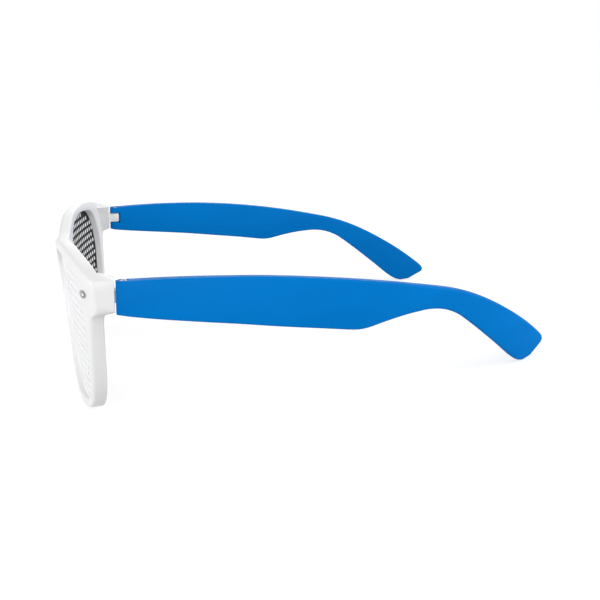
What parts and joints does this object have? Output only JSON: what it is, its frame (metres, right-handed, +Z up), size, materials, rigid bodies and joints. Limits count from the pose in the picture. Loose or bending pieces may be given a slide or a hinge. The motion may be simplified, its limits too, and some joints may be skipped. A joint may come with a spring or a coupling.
{
  "type": "pinhole glasses",
  "caption": "Pinhole glasses with a thick moulded front, perforated opaque lens plates and flat curved side arms that fold on hinge screws.",
  "frame": {"origin": "on the floor under the middle of the bounding box of the open glasses", "axes": "+X to the wearer's left, -Y out of the lenses, +Y toward the wearer along the arms, +Z up"},
  "size_m": [0.1508, 0.148, 0.0496],
  "materials": {
    "white_plastic": "satin moulded white",
    "black_plastic": "matt black",
    "white_film": "smooth white print film",
    "blue_plastic": "satin moulded blue",
    "screw_steel": "plain steel",
    "stud_metal": "bright metal"
  },
  "bodies": {
    "front": {"front_frame": "white_plastic", "left_lens": "black_plastic", "right_lens": "black_plastic", "left_lens_film": "white_film", "right_lens_film": "white_film", "left_corner_stud": "stud_metal", "right_corner_stud": "stud_metal"},
    "left_arm": {"left_temple": "blue_plastic", "left_hinge_screw": "screw_steel"},
    "right_arm": {"right_temple": "blue_plastic", "right_hinge_screw": "screw_steel"}
  },
  "joints": [
    {"name": "left_fold", "type": "hinge", "parent": "front", "child": "left_arm", "pos_m": [0.0692, -0.05408, 0.03874], "axis": [0, 0.0993, 0.9951], "range_deg": [0, 84]},
    {"name": "right_fold", "type": "hinge", "parent": "front", "child": "right_arm", "pos_m": [-0.0692, -0.05408, 0.03874], "axis": [0, -0.0993, -0.9951], "range_deg": [0, 78]}
  ]
}
